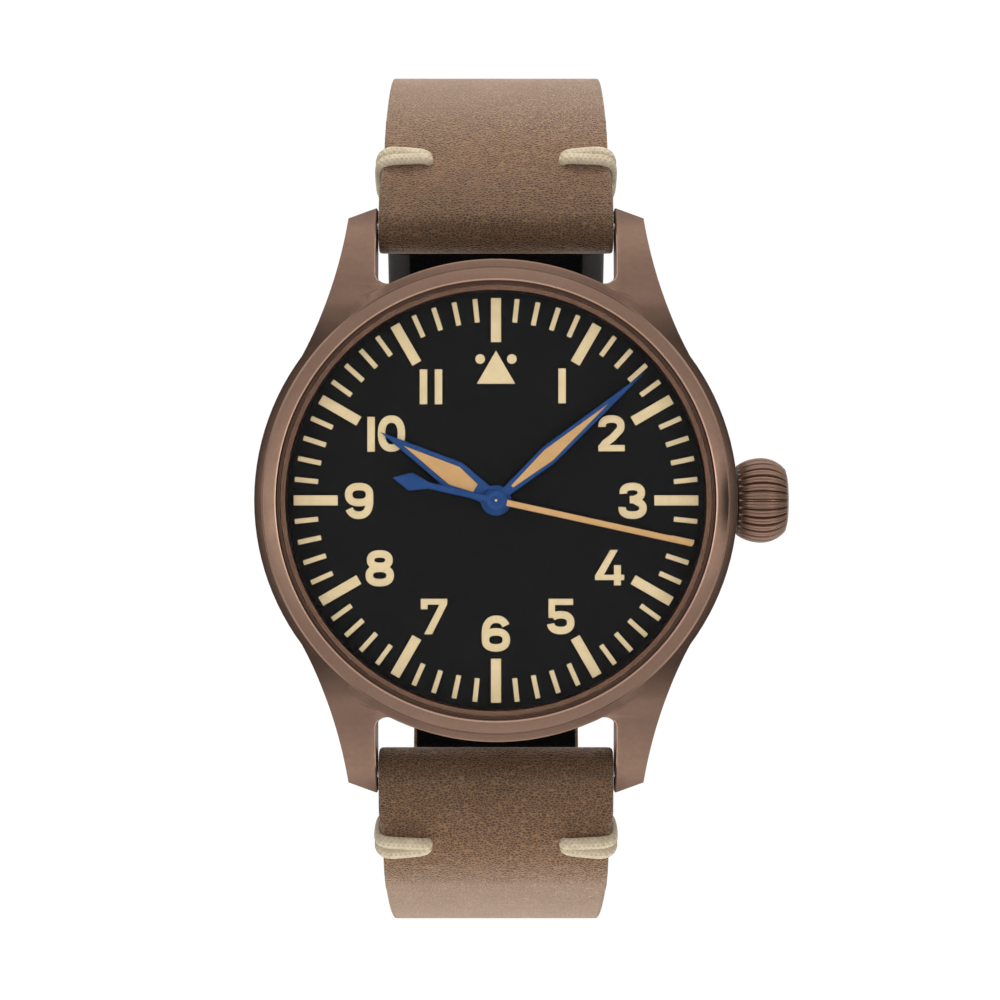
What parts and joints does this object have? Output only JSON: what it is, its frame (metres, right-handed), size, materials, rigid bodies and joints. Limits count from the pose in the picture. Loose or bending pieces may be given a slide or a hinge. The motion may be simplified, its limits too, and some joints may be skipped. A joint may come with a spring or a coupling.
{
  "type": "pilot watch",
  "caption": "Hand-wound pilot watch: round bronze case with domed crystal, fluted crown, black dial with raised lume, blued hands and a leather strap closed in a wrist loop",
  "frame": {"origin": "centre of the case back's outer face, on the dial's axis", "axes": "+Z out of the dial towards the reader, +Y towards 12 o'clock, +X towards the crown"},
  "size_m": [0.0444, 0.0782, 0.0715],
  "materials": {
    "bronze_satin": "satin brushed bronze, lightly aged",
    "bronze_dark": "aged bronze, darker inside the dial opening",
    "crystal_glass": "clear domed sapphire",
    "dial_black": "matt black dial coat",
    "lume_cream": "cream luminous paint",
    "lume_tan": "tan luminous paint",
    "hand_blue": "heat-blued steel",
    "movement_plate": "plated movement plate",
    "wheel_brass": "gilt brass wheel",
    "steel_polished": "polished steel",
    "spring_steel": "spring steel",
    "jewel_red": "synthetic ruby",
    "gasket_rubber": "black nitrile rubber",
    "ring_plastic": "dark moulded spacer",
    "strap_leather": "brown oiled leather, worn at the folds",
    "lining_leather": "black grained lining leather",
    "cord_thread": "cream waxed cord"
  },
  "bodies": {
    "case": {"case_middle": "bronze_satin", "case_back": "bronze_satin", "case_back_gasket": "gasket_rubber", "bezel": "bronze_satin", "crystal": "crystal_glass", "crystal_gasket": "gasket_rubber", "flange_ring": "bronze_dark", "dial": "dial_black", "dial_markers": "lume_cream", "main_plate": "movement_plate", "barrel_bridge": "movement_plate", "train_bridge": "movement_plate", "balance_cock": "movement_plate", "pallet_bridge": "movement_plate", "train_jewels": "jewel_red", "movement_screws": "steel_polished", "movement_ring": "ring_plastic", "crown_tube": "bronze_satin", "hairspring": "spring_steel", "click_spring": "spring_steel", "strap_short": "strap_leather", "strap_short_lining": "lining_leather", "strap_long": "strap_leather", "strap_long_lining": "lining_leather", "strap_cords": "cord_thread", "fixed_keeper": "strap_leather", "spring_bar_12": "steel_polished", "spring_bar_6": "steel_polished"},
    "stem_drive": {"clutch": "steel_polished", "winding_pinion": "steel_polished"},
    "crown": {"crown": "bronze_satin", "winding_stem": "steel_polished", "crown_gasket": "gasket_rubber"},
    "crown_wheel": {"crown_wheel": "steel_polished"},
    "ratchet": {"ratchet_wheel": "steel_polished", "barrel_arbor": "steel_polished"},
    "click": {"click": "steel_polished"},
    "centre": {"centre_wheel": "wheel_brass", "cannon_pinion": "steel_polished", "minute_hand": "hand_blue", "minute_hand_lume": "lume_tan"},
    "barrel": {"barrel": "wheel_brass", "mainspring": "spring_steel"},
    "minute_wheel": {"minute_wheel": "wheel_brass"},
    "hour": {"hour_wheel": "wheel_brass", "hour_hand": "hand_blue", "hour_hand_lume": "lume_tan"},
    "third": {"third_wheel": "wheel_brass"},
    "seconds": {"seconds_wheel": "wheel_brass", "seconds_hand": "hand_blue", "seconds_hand_lume": "lume_tan"},
    "escape": {"escape_wheel": "steel_polished"},
    "pallet": {"pallet_fork": "steel_polished"},
    "balance": {"balance_wheel": "wheel_brass"},
    "free_keeper": {"free_keeper": "strap_leather"},
    "buckle": {"buckle_frame": "bronze_satin", "buckle_bar": "steel_polished"},
    "tang": {"buckle_tang": "bronze_satin"},
    "tip_12": {"spring_bar_tip_12": "steel_polished"},
    "tip_6": {"spring_bar_tip_6": "steel_polished"}
  },
  "joints": [
    {"name": "crown_turn", "type": "hinge", "parent": "case", "child": "stem_drive", "pos_m": [0, 0, 0.0037], "axis": [1, 0, 0], "continuous": true},
    {"name": "crown_pull", "type": "slide", "parent": "stem_drive", "child": "crown", "axis": [1, 0, 0], "range_m": [0, 0.0012]},
    {"name": "crown_wheel_turn", "type": "hinge", "parent": "case", "child": "crown_wheel", "pos_m": [0.006, 0, 0.002], "axis": [0, 0, 1], "continuous": true},
    {"name": "ratchet_turn", "type": "hinge", "parent": "case", "child": "ratchet", "pos_m": [0.00295, 0.00511, 0.002], "axis": [0, 0, 1], "continuous": true},
    {"name": "click_swing", "type": "hinge", "parent": "case", "child": "click", "pos_m": [0.00151, 0.00906, 0.002], "axis": [0, 0, 1], "range_deg": [-5, 5], "stiffness_Nm_per_rad": 0.0001},
    {"name": "minute_turn", "type": "hinge", "parent": "case", "child": "centre", "pos_m": [0, 0, 0.004], "axis": [0, 0, -1], "continuous": true},
    {"name": "barrel_turn", "type": "hinge", "parent": "case", "child": "barrel", "pos_m": [0.00295, 0.00511, 0.0033], "axis": [0, 0, -1], "continuous": true},
    {"name": "minute_wheel_turn", "type": "hinge", "parent": "case", "child": "minute_wheel", "pos_m": [0.00226, -0.00082, 0.0046], "axis": [0, 0, -1], "continuous": true},
    {"name": "hour_turn", "type": "hinge", "parent": "case", "child": "hour", "pos_m": [0, 0, 0.005], "axis": [0, 0, -1], "continuous": true},
    {"name": "third_turn", "type": "hinge", "parent": "case", "child": "third", "pos_m": [0.00063, -0.00355, 0.003], "axis": [0, 0, -1], "continuous": true},
    {"name": "seconds_turn", "type": "hinge", "parent": "case", "child": "seconds", "pos_m": [0, 0, 0.003], "axis": [0, 0, -1], "continuous": true},
    {"name": "escape_turn", "type": "hinge", "parent": "case", "child": "escape", "pos_m": [-0.00279, -0.00195, 0.003], "axis": [0, 0, -1], "continuous": true},
    {"name": "pallet_swing", "type": "hinge", "parent": "case", "child": "pallet", "pos_m": [-0.00503, -0.00202, 0.003], "axis": [0, 0, 1], "range_deg": [-5, 5]},
    {"name": "balance_swing", "type": "hinge", "parent": "case", "child": "balance", "pos_m": [-0.00782, -0.0021, 0.003], "axis": [0, 0, 1], "range_deg": [-270, 270], "stiffness_Nm_per_rad": 0.0000004},
    {"name": "free_keeper_slide", "type": "hinge", "parent": "case", "child": "free_keeper", "pos_m": [0, 0.00698, -0.02461], "axis": [1, 0, 0], "range_deg": [-3, 14]},
    {"name": "buckle_swing", "type": "hinge", "parent": "case", "child": "buckle", "pos_m": [0, 0.01755, -0.05365], "axis": [1, 0, 0], "range_deg": [0, 3]},
    {"name": "tang_lift", "type": "hinge", "parent": "buckle", "child": "tang", "pos_m": [0, 0.01755, -0.05365], "axis": [1, 0, 0], "range_deg": [0, 5]},
    {"name": "tip_12_push", "type": "slide", "parent": "case", "child": "tip_12", "axis": [-1, 0, 0], "range_m": [0, 0.001], "stiffness_N_per_m": 200},
    {"name": "tip_6_push", "type": "slide", "parent": "case", "child": "tip_6", "axis": [-1, 0, 0], "range_m": [0, 0.001], "stiffness_N_per_m": 200}
  ],
  "couplings": [
    {"joint": "crown_wheel_turn", "follows": "crown_turn", "ratio": 0.54545},
    {"joint": "ratchet_turn", "follows": "crown_turn", "ratio": -0.33333},
    {"joint": "barrel_turn", "follows": "minute_turn", "ratio": -0.16667},
    {"joint": "minute_wheel_turn", "follows": "minute_turn", "ratio": -0.33333},
    {"joint": "hour_turn", "follows": "minute_turn", "ratio": 0.083333},
    {"joint": "third_turn", "follows": "minute_turn", "ratio": -8},
    {"joint": "seconds_turn", "follows": "minute_turn", "ratio": 60},
    {"joint": "escape_turn", "follows": "minute_turn", "ratio": -600}
  ]
}
